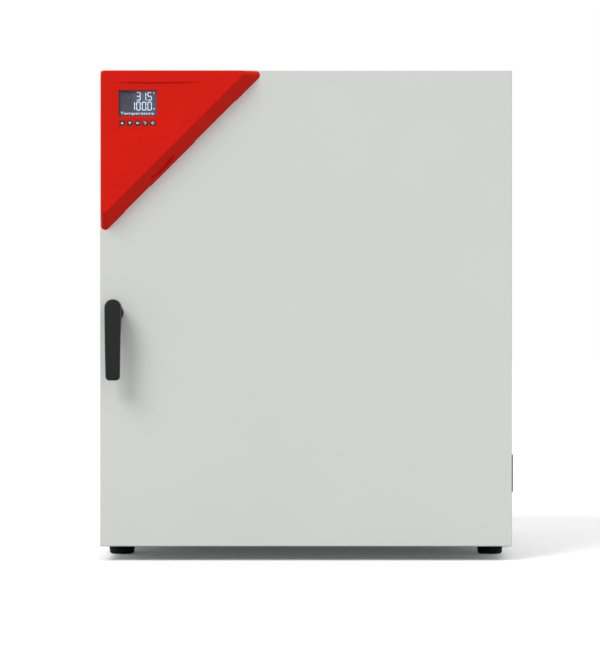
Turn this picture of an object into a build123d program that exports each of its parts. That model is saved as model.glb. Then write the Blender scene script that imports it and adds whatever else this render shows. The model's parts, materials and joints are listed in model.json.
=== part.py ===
from build123d import *
import os
from math import cos, radians, sin

# A floor-standing laboratory drying oven: a sheet-steel casing on four feet, an insulated
# steel chamber with two wire racks, a fan and a ring heater behind an air baffle, and one
# solid door with its controller in a triangular housing and a pull lever that works a latch.
# Millimetres. X points to the right of someone facing the door, Y to the rear and Z up.
# The origin is on the floor under the middle of the oven.

os.makedirs("parts", exist_ok=True)

# Casing
casing_width = 810.0
casing_front = -307.0
casing_rear = 386.0
casing_base = 28.0
casing_top = 965.0
casing_sheet = 1.2
casing_bend = 2.4
side_flange = 14.0
rear_panel_margin = 3.0

# Heating chamber
chamber_width = 650.0
chamber_height = 780.0
chamber_depth = 573.0
chamber_floor = 100.0
chamber_sheet = 1.0
chamber_flange = 14.0
chamber_corner = 8.0
rear_insulation = 60.0

# Door
door_thickness = 62.0
door_gap = 5.0
door_floor_gap = 0.6
door_sheet = 1.2
door_edge_radius = 2.0
gasket_inset = 2.0
gasket_width = 10.0
gasket_gap = 0.6

# Hinges
pivot_inset = 10.0
pivot_ahead = 34.0
hinge_plate = 2.5
hinge_plate_reach = 46.0
hinge_pin_radius = 4.0
hinge_pin_length = 18.0
hinge_block_height = 22.0
hinge_block_depth = 34.0
hinge_clearance = 0.6

# Fits
running_gap = 0.05
sliding_gap = 0.3

# Racks and their rails
rail_count = 10
rail_pitch = 60.0
rail_first = 90.0
rail_proud = 9.0
rail_lip = 2.0
rail_drop = 12.0
rail_front = 18.0
rail_length = 480.0
rack_rod = 6.0
rack_wire = 3.5
rack_wire_count = 25
rack_corner = 14.0
rack_side_gap = 1.5
rack_depth = 488.0
rack_front = 20.0
upper_rack_rail = 6
lower_rack_rail = 2

# Air baffle, fan and heater
usable_depth = 513.0
baffle_sheet = 1.2
intake_radius = 62.0
intake_slot = 46.0
intake_slot_width = 7.0
intake_slot_count = 20
outlet_inset = 26.0
outlet_height = 26.0
outlet_width = 7.0
outlet_rows = 15
outlet_pitch = 48.0
impeller_radius = 85.0
impeller_sheet = 1.5
impeller_gap = 9.0
blade_inner = 42.0
blade_count = 12
blade_sheet = 1.2
hub_radius = 14.0
shaft_radius = 5.0
shaft_hole_gap = 3.0
coil_radius = 118.0
coil_tube = 4.0
coil_turn = 320.0
motor_radius = 44.0
motor_length = 44.0
motor_plate_sheet = 1.5
motor_plate_height = 230.0
probe_radius = 2.0
probe_x = 150.0
probe_rise = 190.0
probe_reach = 45.0

# Exhaust duct
duct_bore = 25.0
duct_wall = 2.0
duct_x = -180.0
duct_rise = 300.0
duct_proud = 35.5
duct_flange = 11.0
duct_flange_sheet = 1.5
duct_collar = 1.0
duct_push_on = 15.0
flap_edge_gap = 0.7
flap_sheet = 1.6
flap_behind_panel = 10.5
spindle_radius = 2.5
knob_radius = 7.0
knob_bar = 17.0
knob_height = 9.0

# Feet
foot_radius = 25.0
foot_inset_x = 31.0
foot_inset_front = 110.0
foot_inset_rear = 70.0
foot_stud_radius = 5.0

# Side switch panel and louvres
switch_panel_low = 129.0
switch_panel_height = 77.0
switch_panel_front = 18.0
switch_panel_length = 150.0
switch_panel_proud = 9.0
switch_panel_deep = 24.0
switch_panel_wall = 3.0
switch_panel_lip = 6.0
rocker_length = 22.0
rocker_height = 30.0
rocker_gap = 0.6
rocker_tilt = 9.0
rocker_inset = 40.0
louvre_length = 90.0
louvre_front = 18.0
louvre_proud = 8.0
lower_louvre_height = 13.0
lower_louvre_tops = (116.5, 100.5)
upper_louvre_height = 10.0
upper_louvre_bases = (939.0, 922.5)

# Control housing on the door
panel_inset_side = 2.0
panel_inset_top = 1.5
panel_diagonal = 328.4
panel_depth = 26.0
panel_draft = 1.5
panel_face_diagonal = 294.0
panel_base_corner = 8.6
panel_face_corner = 7.0
panel_edge_radius = 2.5
panel_wall = 5.0
scoop_left = 24.0
scoop_right_top = 207.0
scoop_right_bottom = 150.0
scoop_top = 26.0
scoop_bottom = 126.4
scoop_depth = 2.4
window_left = 38.2
window_top = 41.6
window_width = 75.0
window_height = 51.0
window_sheet = 1.5
window_lap = 2.5
module_depth = 7.0
board_sheet = 1.6
board_standoff = 8.0
board_margin = 10.0
button_first = 45.5
button_pitch = 14.9
button_drop = 106.0
button_side = 10.6
button_corner = 2.5
button_gap = 0.3
button_proud = 0.8
button_flange = 1.5
button_travel = 1.2
grip_drop = 190.0
grip_outward = 3.8
grip_length = 66.0
grip_width = 13.0
grip_depth = 2.8
relief_spans = ((61.0, 141.0), (229.0, 279.0))
relief_cut = 1.2

# Handle and latch
handle_inset = 28.0
handle_width = 32.0
handle_foot_half = 14.0
handle_foot_corner = 8.0
handle_low = 355.5
handle_high = 514.0
handle_proud = 48.0
handle_grip = 13.0
handle_cam = 5.0
lever_pivot_z = 493.0
lever_pivot_proud = 26.0
lever_pin_radius = 3.0
cheek_sheet = 2.5
cheek_offset = 10.0
cheek_radius = 8.0
boss_radius = 18.4
boss_z = 488.0
boss_proud = 9.0
rod_radius = 4.0
rod_rise = 13.0
hook_pivot_depth = 20.0
hook_pivot_z = 487.0
hook_width = 8.0
hook_bar = 8.0
hook_reach = 50.0
hook_nose = 6.0
hook_pin_radius = 2.5
strike_radius = 3.0
strike_gap = 0.5
strike_ahead = 42.0

# Levels and planes worked out from the sizes above
side_x = casing_width / 2
inner_x = side_x - casing_sheet
panel_rear = casing_rear - casing_sheet
roof_under = casing_top - casing_sheet
flange_front = casing_front - chamber_sheet
chamber_x = chamber_width / 2
chamber_back = flange_front + chamber_depth
chamber_mid = chamber_floor + chamber_height / 2
insulation_rear = chamber_back + chamber_sheet + rear_insulation
baffle_front = flange_front + usable_depth
door_rear = casing_front - door_gap
door_front = door_rear - door_thickness
door_base = casing_base + door_floor_gap
door_height = casing_top - door_base
pivot_x = side_x - pivot_inset
pivot_y = door_rear - pivot_ahead
hinge_half = inner_x - pivot_x
hinge_rear = casing_front + hinge_plate_reach
latch_x = handle_inset - side_x
duct_z = chamber_mid + duct_rise
flap_y = casing_rear + flap_behind_panel


def facing_front(y):
    """A sketch plane seen from the front: its x is X, its y is Z, and it extrudes forwards."""
    return Plane.XZ.offset(-y)


def facing_side(x):
    """A sketch plane seen from the right: its x is Y, its y is Z, and it extrudes to the right."""
    return Plane.YZ.offset(x)


def write_piece(piece, name):
    """Label one finished piece and write it to its own file."""
    piece.part.label = name
    export_step(piece.part, f"parts/{name}.step")


# Casing sides: flat sheets with a bent flange along the rear edge


def side_sheet(sign):
    """The L-shaped side sheet of one side: -1 is the left and 1 the right."""
    with BuildPart() as sheet:
        with BuildSketch(Plane.XY.offset(casing_base)):
            with BuildLine():
                FilletPolyline(
                    (sign * (side_x - side_flange), panel_rear),
                    (sign * side_x, panel_rear),
                    (sign * side_x, casing_front),
                    radius=casing_bend,
                )
                offset(amount=casing_sheet, side=Side.RIGHT if sign > 0 else Side.LEFT)
            make_face()
        extrude(amount=roof_under - casing_base)
    return sheet


screw_rows = 4
screw_step = (roof_under - casing_base - 2 * 40.0) / (screw_rows - 1)
screw_radius = 2.0
screw_head_radius = 4.2
screw_head_height = 2.6
screw_length = 7.0
screw_x = side_x - side_flange + 5.0
screw_mid_z = (roof_under + casing_base) / 2

with BuildPart() as left_side_panel:
    add(side_sheet(-1).part)
    with BuildSketch(facing_front(panel_rear)):
        with Locations((-screw_x, screw_mid_z)):
            with GridLocations(0, screw_step, 1, screw_rows):
                Circle(screw_radius)
    extrude(amount=2 * casing_sheet, mode=Mode.SUBTRACT)
write_piece(left_side_panel, "left_side_panel")


def louvre(flared_z, closed_z):
    """The pressed hood of one louvre: flared and open at one level, closed at the other."""
    front = facing_front(casing_front + louvre_front)
    rise = closed_z - flared_z
    with BuildPart() as hood:
        with BuildSketch(front):
            with BuildLine():
                Polyline(
                    (side_x - casing_sheet, closed_z),
                    (side_x, closed_z),
                    (side_x + louvre_proud, flared_z),
                    (side_x - casing_sheet, flared_z),
                    close=True,
                )
            make_face()
        extrude(amount=-louvre_length)
        with BuildSketch(front.offset(-casing_sheet)):
            with BuildLine():
                Polyline(
                    (side_x - 2 * casing_sheet, closed_z - rise / 6),
                    (side_x - casing_sheet, closed_z - rise / 6),
                    (side_x + louvre_proud - casing_sheet, flared_z),
                    (side_x - 2 * casing_sheet, flared_z),
                    close=True,
                )
            make_face()
        extrude(amount=-(louvre_length - 2 * casing_sheet), mode=Mode.SUBTRACT)
    return hood


louvres = [(top, top - lower_louvre_height) for top in lower_louvre_tops]
louvres += [(base, base + upper_louvre_height) for base in upper_louvre_bases]
louvre_mid_y = casing_front + louvre_front + louvre_length / 2
switch_mid_y = casing_front + switch_panel_front + switch_panel_length / 2
switch_mid_z = switch_panel_low + switch_panel_height / 2

with BuildPart() as right_side_panel:
    add(side_sheet(1).part)
    with BuildSketch(facing_front(panel_rear)):
        with Locations((screw_x, screw_mid_z)):
            with GridLocations(0, screw_step, 1, screw_rows):
                Circle(screw_radius)
    extrude(amount=2 * casing_sheet, mode=Mode.SUBTRACT)
    with BuildSketch(facing_side(inner_x)):
        for flared, closed in louvres:
            with Locations((louvre_mid_y, (flared + closed) / 2)):
                Rectangle(louvre_length, abs(flared - closed))
        with Locations((switch_mid_y, switch_mid_z)):
            Rectangle(
                switch_panel_length - 2 * switch_panel_lip,
                switch_panel_height - 2 * switch_panel_lip,
            )
    extrude(amount=casing_sheet, mode=Mode.SUBTRACT)
    for flared, closed in louvres:
        add(louvre(flared, closed).part)
write_piece(right_side_panel, "right_side_panel")

with BuildPart() as top_panel:
    with BuildSketch(Plane.XY.offset(roof_under)):
        with Locations((0, (casing_front + casing_rear) / 2)):
            Rectangle(casing_width, casing_rear - casing_front)
    extrude(amount=casing_sheet)
    fillet(top_panel.faces().sort_by(Axis.Z)[-1].edges(), radius=casing_sheet * 0.8)
write_piece(top_panel, "top_panel")

foot_x = side_x - foot_inset_x
foot_front_y = casing_front + foot_inset_front
foot_rear_y = casing_rear - foot_inset_rear
foot_places = {
    "front_left_foot": (-foot_x, foot_front_y),
    "front_right_foot": (foot_x, foot_front_y),
    "rear_left_foot": (-foot_x, foot_rear_y),
    "rear_right_foot": (foot_x, foot_rear_y),
}

with BuildPart() as base_pan:
    with BuildSketch(Plane.XY.offset(casing_base)):
        with Locations((0, (casing_front + panel_rear - casing_bend) / 2)):
            Rectangle(2 * inner_x, panel_rear - casing_bend - casing_front)
        with Locations(*foot_places.values()):
            Circle(foot_stud_radius, mode=Mode.SUBTRACT)
    extrude(amount=casing_sheet)
write_piece(base_pan, "base_pan")

gland_x = side_x - 60.0
gland_z = casing_base + 52.0
gland_thread = 10.0
vent_rows = 8
vent_pitch = 12.0
vent_slot = 110.0
vent_width = 5.0
vent_z = chamber_mid - 210.0

with BuildPart() as rear_panel:
    with BuildSketch(facing_front(casing_rear)):
        with Locations((0, (casing_base + roof_under) / 2)):
            Rectangle(2 * (side_x - rear_panel_margin), roof_under - casing_base)
        with Locations((duct_x, duct_z)):
            Circle(duct_bore + duct_wall, mode=Mode.SUBTRACT)
        with Locations((gland_x, gland_z)):
            Circle(gland_thread, mode=Mode.SUBTRACT)
        for sign in (-1, 1):
            with Locations((sign * screw_x, screw_mid_z)):
                with GridLocations(0, screw_step, 1, screw_rows):
                    Circle(screw_radius, mode=Mode.SUBTRACT)
        for vent_x in (-140.0, 140.0):
            with Locations((vent_x, vent_z)):
                with GridLocations(0, vent_pitch, 1, vent_rows):
                    Rectangle(vent_slot, vent_width, mode=Mode.SUBTRACT)
    extrude(amount=casing_sheet)
write_piece(rear_panel, "rear_panel")

with BuildPart() as rear_panel_screws:
    for sign in (-1, 1):
        with BuildSketch(facing_front(casing_rear)):
            with Locations((sign * screw_x, screw_mid_z)):
                with GridLocations(0, screw_step, 1, screw_rows):
                    Circle(screw_head_radius)
        extrude(amount=-screw_head_height)
        with BuildSketch(facing_front(casing_rear)):
            with Locations((sign * screw_x, screw_mid_z)):
                with GridLocations(0, screw_step, 1, screw_rows):
                    Circle(screw_radius)
        extrude(amount=screw_length)
    heads = rear_panel_screws.edges().filter_by(GeomType.CIRCLE).group_by(Axis.Y)[-1]
    fillet(heads, radius=screw_head_height * 0.6)
write_piece(rear_panel_screws, "rear_panel_screws")

# Front frame: the ring of sheet between the casing and the chamber mouth
slot_low = hook_pivot_z - 16.0
slot_high = hook_pivot_z + 15.0
slot_half = hook_width / 2 + 6.0
frame_height = roof_under - casing_base - casing_sheet
frame_mid = casing_base + casing_sheet + frame_height / 2

with BuildPart() as front_frame:
    with BuildSketch(facing_front(casing_front)):
        with Locations((0, frame_mid)):
            Rectangle(2 * inner_x, frame_height)
        with Locations((0, chamber_mid)):
            RectangleRounded(
                chamber_width + 2 * chamber_sheet,
                chamber_height + 2 * chamber_sheet,
                chamber_corner + chamber_sheet,
                mode=Mode.SUBTRACT,
            )
        with Locations((latch_x, (slot_low + slot_high) / 2)):
            Rectangle(2 * slot_half, slot_high - slot_low, mode=Mode.SUBTRACT)
        with Locations((pivot_x, roof_under - hinge_plate / 2)):
            Rectangle(2 * hinge_half, hinge_plate, mode=Mode.SUBTRACT)
    extrude(amount=-casing_sheet)
write_piece(front_frame, "front_frame")

# Inner chamber: a five-sided steel box with a flange round its mouth
coil_y = baffle_front + 32.0
coil_ends = [
    Vector(coil_radius, 0, 0).rotate(Axis.Y, angle) for angle in (90.0 - coil_turn / 2, 90.0 + coil_turn / 2)
]
coil_places = [(end.X, chamber_mid + end.Z) for end in coil_ends]
probe_place = (probe_x, chamber_mid + probe_rise)

with BuildPart() as inner_chamber:
    with BuildSketch(facing_front(flange_front)):
        with Locations((0, chamber_mid)):
            RectangleRounded(
                chamber_width + 2 * chamber_flange,
                chamber_height + 2 * chamber_flange,
                chamber_corner + chamber_flange,
            )
    extrude(amount=-chamber_sheet)
    with BuildSketch(facing_front(flange_front)):
        with Locations((0, chamber_mid)):
            RectangleRounded(
                chamber_width + 2 * chamber_sheet,
                chamber_height + 2 * chamber_sheet,
                chamber_corner + chamber_sheet,
            )
    extrude(amount=-(chamber_depth + chamber_sheet))
    with BuildSketch(facing_front(flange_front)):
        with Locations((0, chamber_mid)):
            RectangleRounded(chamber_width, chamber_height, chamber_corner)
    extrude(amount=-chamber_depth, mode=Mode.SUBTRACT)
    with BuildSketch(facing_front(chamber_back)):
        with Locations((0, chamber_mid)):
            Circle(shaft_radius + shaft_hole_gap)
        with Locations((duct_x, duct_z)):
            Circle(duct_bore)
        with Locations(probe_place):
            Circle(probe_radius)
        with Locations(*coil_places):
            Circle(coil_tube)
    extrude(amount=-chamber_sheet, mode=Mode.SUBTRACT)
write_piece(inner_chamber, "inner_chamber")

# Rack rails: a ribbed steel sheet on each side wall, one flat-topped rib for each rack place
rail_tops = [chamber_floor + rail_first + step * rail_pitch for step in range(rail_count)]
rail_sheet_low = rail_tops[0] - 2 * rail_drop
rail_sheet_high = rail_tops[-1] + rail_drop
rail_x = chamber_x - chamber_sheet
rail_y = flange_front + rail_front


def rack_rail(sign):
    """The ribbed sheet on one side wall of the chamber."""
    with BuildPart() as rail:
        with BuildSketch(facing_side(sign * (chamber_x - chamber_sheet / 2))):
            with Locations((rail_y + rail_length / 2, (rail_sheet_low + rail_sheet_high) / 2)):
                Rectangle(rail_length, rail_sheet_high - rail_sheet_low)
        extrude(amount=chamber_sheet / 2, both=True)
        with BuildSketch(facing_front(rail_y)):
            for top in rail_tops:
                with BuildLine():
                    Polyline(
                        (sign * rail_x, top),
                        (sign * (rail_x - rail_proud), top),
                        (sign * (rail_x - rail_proud), top - rail_lip),
                        (sign * rail_x, top - rail_drop),
                        close=True,
                    )
                make_face()
        extrude(amount=-rail_length)
    return rail


write_piece(rack_rail(-1), "left_rack_rail")
write_piece(rack_rail(1), "right_rack_rail")

# Wire racks: a rod frame with wires from front to back, resting on a pair of ribs
rack_half = rail_x - rack_side_gap - rack_rod / 2
rack_front_y = flange_front + rack_front + rack_rod / 2
rack_rear_y = rack_front_y + rack_depth - rack_rod
rack_middle = (rack_front_y + rack_rear_y) / 2
wire_pitch = 2 * (rack_half - rack_corner) / (rack_wire_count - 1)


def wire_rack(rail_top):
    """One rack, lying just above the ribs whose tops are at the given level."""
    rod_z = rail_top + sliding_gap + rack_rod / 2
    with BuildPart() as rack:
        with BuildLine():
            frame_line = FilletPolyline(
                (rack_half, rack_front_y, rod_z),
                (rack_half, rack_rear_y, rod_z),
                (-rack_half, rack_rear_y, rod_z),
                (-rack_half, rack_front_y, rod_z),
                radius=rack_corner,
                close=True,
            )
        with BuildSketch(Plane(origin=frame_line @ 0, z_dir=frame_line % 0)):
            Circle(rack_rod / 2)
        sweep(path=frame_line)
        with BuildSketch(facing_side(0)):
            for bar_y in (rack_middle - rack_depth / 5, rack_middle + rack_depth / 5):
                with Locations((bar_y, rod_z)):
                    Circle(rack_rod / 2)
        extrude(amount=rack_half, both=True)
        with BuildSketch(facing_front(rack_front_y)):
            with Locations((0, rod_z + rack_rod / 4)):
                with GridLocations(wire_pitch, 0, rack_wire_count, 1):
                    Circle(rack_wire / 2)
        extrude(amount=-(rack_rear_y - rack_front_y))
    return rack


write_piece(wire_rack(rail_tops[upper_rack_rail]), "upper_rack")
write_piece(wire_rack(rail_tops[lower_rack_rail]), "lower_rack")

# Air baffle: the slotted false back that the fan draws through in the middle
outlet_x = chamber_x - outlet_inset

with BuildPart() as air_baffle:
    with BuildSketch(facing_front(baffle_front)):
        with Locations((0, chamber_mid)):
            RectangleRounded(chamber_width, chamber_height, chamber_corner)
            with PolarLocations(intake_radius, intake_slot_count):
                SlotOverall(intake_slot, intake_slot_width, mode=Mode.SUBTRACT)
            with GridLocations(2 * outlet_x, outlet_pitch, 2, outlet_rows):
                Rectangle(outlet_width, outlet_height, mode=Mode.SUBTRACT)
        with Locations(probe_place):
            Circle(probe_radius + shaft_hole_gap, mode=Mode.SUBTRACT)
    extrude(amount=-baffle_sheet)
write_piece(air_baffle, "air_baffle")

# Fan: an impeller with curved blades on a shaft that comes through the back wall
impeller_front = baffle_front + baffle_sheet + impeller_gap
impeller_rear = chamber_back - impeller_gap
blade_outer = impeller_radius - 2.0
blade_lean = radians(24.0)
blade_half = blade_sheet / 2


def ring_point(radius, angle):
    """A point of a circle round the fan's axis, in the fan's own sketch plane."""
    return (radius * cos(angle), radius * sin(angle))


def blade_side(shift):
    """One face of a blade: the points it starts at, bows through and ends at."""
    middle = (blade_inner + blade_outer) / 2
    return [
        ring_point(blade_inner, -blade_lean / 2 + shift / blade_inner),
        ring_point(middle, blade_lean / 4 + shift / middle),
        ring_point(blade_outer, blade_lean + shift / blade_outer),
    ]


fan_plane = Plane(origin=(0, impeller_rear, chamber_mid), x_dir=(1, 0, 0), z_dir=(0, -1, 0))
inner_face = blade_side(-blade_half)
outer_face = blade_side(blade_half)

with BuildSketch() as blade:
    with BuildLine():
        ThreePointArc(*inner_face)
        Line(inner_face[-1], outer_face[-1])
        ThreePointArc(*outer_face)
        Line(inner_face[0], outer_face[0])
    make_face()

with BuildPart() as fan_impeller:
    with BuildSketch(fan_plane):
        Circle(impeller_radius)
        Circle(shaft_radius, mode=Mode.SUBTRACT)
    extrude(amount=impeller_sheet)
    with BuildSketch(fan_plane):
        Circle(hub_radius)
        Circle(shaft_radius, mode=Mode.SUBTRACT)
    extrude(amount=(impeller_rear - impeller_front) * 0.7)
    with BuildSketch(fan_plane):
        with PolarLocations(0, blade_count):
            add(blade.sketch)
    extrude(amount=impeller_rear - impeller_front)
    with BuildSketch(fan_plane.offset(impeller_rear - impeller_front - impeller_sheet)):
        Circle(impeller_radius)
        Circle(blade_inner + 16.0, mode=Mode.SUBTRACT)
    extrude(amount=impeller_sheet)
write_piece(fan_impeller, "fan_impeller")

motor_front = insulation_rear + motor_plate_sheet
shaft_front = impeller_front + 6.0
shaft_rear = motor_front + motor_length * 0.6

with BuildPart() as fan_shaft:
    with BuildSketch(fan_plane.offset(impeller_rear - shaft_rear)):
        Circle(shaft_radius)
    extrude(amount=shaft_rear - shaft_front)
    chamfer(fan_shaft.edges().group_by(Axis.Y)[0], length=1.0)
write_piece(fan_shaft, "fan_shaft")

with BuildPart() as motor_plate:
    with BuildSketch(facing_front(motor_front)):
        with Locations((0, chamber_mid)):
            Rectangle(2 * inner_x, motor_plate_height)
            Circle(shaft_radius + shaft_hole_gap, mode=Mode.SUBTRACT)
        with Locations(*coil_places):
            Circle(coil_tube, mode=Mode.SUBTRACT)
    extrude(amount=motor_plate_sheet)
write_piece(motor_plate, "motor_plate")

with BuildPart() as fan_motor:
    with BuildSketch(Plane.XY.offset(chamber_mid)):
        with BuildLine():
            Polyline(
                (shaft_radius + running_gap, motor_front),
                (motor_radius, motor_front),
                (motor_radius, motor_front + motor_length * 0.3),
                (motor_radius * 0.92, motor_front + motor_length * 0.3),
                (motor_radius * 0.92, motor_front + motor_length * 0.7),
                (motor_radius, motor_front + motor_length * 0.7),
                (motor_radius, motor_front + motor_length * 0.9),
                (motor_radius * 0.8, motor_front + motor_length),
                (0, motor_front + motor_length),
                (0, shaft_rear + 1.0),
                (shaft_radius + running_gap, shaft_rear + 1.0),
                close=True,
            )
        make_face()
    revolve(axis=Axis((0, 0, chamber_mid), (0, 1, 0)))
write_piece(fan_motor, "fan_motor")

# Ring heater round the fan, with two legs that leave through the back wall
coil_leg_rear = motor_front + 14.0

coil_start = Plane(origin=(0, 0, chamber_mid), x_dir=coil_ends[0], z_dir=coil_ends[0].cross(Vector(0, 1, 0)))

with BuildPart() as heating_coil:
    with BuildSketch(coil_start):
        with Locations((coil_radius, coil_y)):
            Circle(coil_tube)
    revolve(axis=Axis((0, 0, chamber_mid), (0, 1, 0)), revolution_arc=coil_turn)
    with BuildSketch(facing_front(coil_y)):
        with Locations(*coil_places):
            Circle(coil_tube)
    extrude(amount=-(coil_leg_rear - coil_y))
    with Locations(*[(x, coil_y, z) for x, z in coil_places]):
        Sphere(coil_tube)
write_piece(heating_coil, "heating_coil")

# Temperature probe: a thin rod from the rear compartment into the working space
with BuildPart() as temperature_probe:
    with BuildSketch(facing_front(insulation_rear + 12.0)):
        with Locations(probe_place):
            Circle(probe_radius)
    extrude(amount=insulation_rear + 12.0 - baffle_front + probe_reach)
    with BuildSketch(facing_front(insulation_rear + 12.0)):
        with Locations(probe_place):
            RegularPolygon(3 * probe_radius, 6)
    extrude(amount=12.0)
write_piece(temperature_probe, "temperature_probe")

# Exhaust duct: a tube from the chamber's back wall to a spigot behind the oven,
# thicker at its end, where a hose is pushed on
duct_outer = duct_bore + duct_wall
duct_end = casing_rear + duct_proud
duct_start = chamber_back + chamber_sheet

with BuildPart() as exhaust_duct:
    with BuildSketch(facing_front(duct_end)):
        with Locations((duct_x, duct_z)):
            Circle(duct_outer)
            Circle(duct_bore, mode=Mode.SUBTRACT)
    extrude(amount=duct_end - duct_start)
    with BuildSketch(facing_front(casing_rear + duct_flange_sheet)):
        with Locations((duct_x, duct_z)):
            Circle(duct_outer + duct_flange)
            Circle(duct_outer - duct_wall / 2, mode=Mode.SUBTRACT)
    extrude(amount=duct_flange_sheet)
    with BuildSketch(facing_front(duct_end)):
        with Locations((duct_x, duct_z)):
            Circle(duct_outer + duct_collar)
            Circle(duct_outer - duct_wall / 2, mode=Mode.SUBTRACT)
    extrude(amount=duct_push_on)
    with BuildSketch(Plane.XY.offset(duct_z)):
        with Locations((duct_x, flap_y)):
            Circle(spindle_radius + running_gap)
    extrude(amount=duct_outer + 1.0, both=True, mode=Mode.SUBTRACT)
write_piece(exhaust_duct, "exhaust_duct")

with BuildPart() as exhaust_flap:
    with BuildSketch(facing_front(flap_y + flap_sheet / 2)):
        with Locations((duct_x, duct_z)):
            Circle(duct_bore - flap_edge_gap)
    extrude(amount=flap_sheet)
    with BuildSketch(Plane.XY.offset(duct_z - duct_outer)):
        with Locations((duct_x, flap_y)):
            Circle(spindle_radius)
    extrude(amount=2 * duct_outer + 2.0 + knob_height / 2)
write_piece(exhaust_flap, "exhaust_flap")

knob_base = duct_z + duct_outer + 2.0

with BuildPart() as flap_knob:
    with BuildSketch(Plane.XY.offset(knob_base)):
        with Locations((duct_x, flap_y)):
            Circle(knob_radius)
            RectangleRounded(knob_bar, 5.0, 1.0)
    extrude(amount=knob_height)
    fillet(flap_knob.faces().sort_by(Axis.Z)[-1].edges(), radius=0.5)
    with BuildSketch(Plane.XY.offset(knob_base)):
        with Locations((duct_x, flap_y)):
            Circle(spindle_radius)
    extrude(amount=knob_height / 2, mode=Mode.SUBTRACT)
write_piece(flap_knob, "flap_knob")

# Feet: round rubber pads on studs that screw into the base pan
foot_stud_rise = 10.0


def foot(place):
    """One foot standing on the floor at the given place."""
    x, y = place
    with BuildPart() as pad:
        with BuildSketch(Plane.XZ.offset(-y)):
            with BuildLine():
                floor_edge = Line((x, 0), (x + foot_radius - 5.0, 0))
                toe = TangentArc(floor_edge @ 1, (x + foot_radius, 5.0), tangent=(1, 0))
                Polyline(
                    toe @ 1,
                    (x + foot_radius, 16.0),
                    (x + foot_radius - 3.0, 20.0),
                    (x + 12.0, 22.0),
                    (x + 12.0, casing_base),
                    (x + foot_stud_radius, casing_base),
                    (x + foot_stud_radius, casing_base + foot_stud_rise),
                    (x, casing_base + foot_stud_rise),
                    (x, 0),
                )
            make_face()
        revolve(axis=Axis((x, y, 0), (0, 0, 1)))
    return pad


for name, place in foot_places.items():
    write_piece(foot(place), name)

# Side switch panel: a raised black moulding with a rocker switch on a cross pin
switch_face = side_x + switch_panel_proud
rocker_y = casing_front + switch_panel_front + rocker_inset
rocker_pivot_x = switch_face - 6.0
rocker_face = 6.3
rocker_reach = (rocker_face**2 + (rocker_height / 2) ** 2) ** 0.5
rocker_hole = 2 * (rocker_reach + sliding_gap)
rocker_cheek = 3.0
rocker_pin = 1.5

with BuildPart() as side_switch_panel:
    with BuildSketch(facing_side(side_x)):
        with Locations((switch_mid_y, switch_mid_z)):
            RectangleRounded(switch_panel_length, switch_panel_height, 4.0)
    extrude(amount=switch_panel_proud)
    fillet(side_switch_panel.faces().sort_by(Axis.X)[-1].edges(), radius=2.5)
    with BuildSketch(facing_side(side_x)):
        with Locations((switch_mid_y, switch_mid_z)):
            Rectangle(
                switch_panel_length - 2 * switch_panel_lip,
                switch_panel_height - 2 * switch_panel_lip,
            )
    extrude(amount=-switch_panel_deep)
    with BuildSketch(facing_side(side_x - switch_panel_deep)):
        with Locations((switch_mid_y, switch_mid_z)):
            Rectangle(
                switch_panel_length - 2 * (switch_panel_lip + switch_panel_wall),
                switch_panel_height - 2 * (switch_panel_lip + switch_panel_wall),
            )
    extrude(amount=switch_panel_deep + switch_panel_proud - switch_panel_wall, mode=Mode.SUBTRACT)
    for sign in (-1, 1):
        with BuildSketch(Plane.XZ.offset(-(rocker_y + sign * (rocker_length + rocker_cheek + 1.2) / 2))):
            with Locations((switch_face - 8.0, switch_mid_z)):
                Rectangle(14.0, 16.0)
        extrude(amount=rocker_cheek / 2, both=True)
    with BuildSketch(facing_side(switch_face - switch_panel_wall - 13.0)):
        with Locations((rocker_y, switch_mid_z)):
            Rectangle(rocker_length + 2 * rocker_gap, rocker_hole)
    extrude(amount=switch_panel_wall + 14.0, mode=Mode.SUBTRACT)
    with BuildSketch(Plane.XZ.offset(-rocker_y)):
        with Locations((rocker_pivot_x, switch_mid_z)):
            Circle(rocker_pin + running_gap)
    extrude(amount=rocker_length / 2 + rocker_gap + rocker_cheek, both=True, mode=Mode.SUBTRACT)
write_piece(side_switch_panel, "side_switch_panel")

with BuildSketch() as rocker_outline:
    with BuildLine():
        Polyline(
            (rocker_face, -rocker_height / 2),
            (rocker_face - 1.8, 0),
            (rocker_face, rocker_height / 2),
            (0, rocker_height / 2),
            (-5.0, 8.0),
            (-5.0, -8.0),
            (0, -rocker_height / 2),
            close=True,
        )
    make_face()

with BuildPart() as power_switch:
    with BuildSketch(Plane.XZ.offset(-rocker_y)):
        with Locations((rocker_pivot_x, switch_mid_z)):
            add(rocker_outline.sketch, rotation=-rocker_tilt)
    extrude(amount=rocker_length / 2, both=True)
    with BuildSketch(Plane.XZ.offset(-rocker_y)):
        with Locations((rocker_pivot_x, switch_mid_z)):
            Circle(rocker_pin)
    extrude(amount=rocker_length / 2 + rocker_gap + rocker_cheek * 0.8, both=True)
write_piece(power_switch, "power_switch")

# Power module and cable gland at the rear
with BuildPart() as power_module:
    with BuildSketch(facing_front(panel_rear)):
        with Locations((gland_x - 100.0, gland_z + 10.0)):
            RectangleRounded(110.0, 80.0, 3.0)
    extrude(amount=36.0)
    with BuildSketch(facing_front(panel_rear - 36.0)):
        with Locations((gland_x - 100.0, gland_z + 10.0)):
            with GridLocations(9.0, 0, 11, 1):
                Rectangle(3.0, 70.0)
    extrude(amount=6.0)
write_piece(power_module, "power_module")

gland_bore = 5.0
gland_body = 14.0
gland_length = 24.0
gland_inside = 10.0

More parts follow.
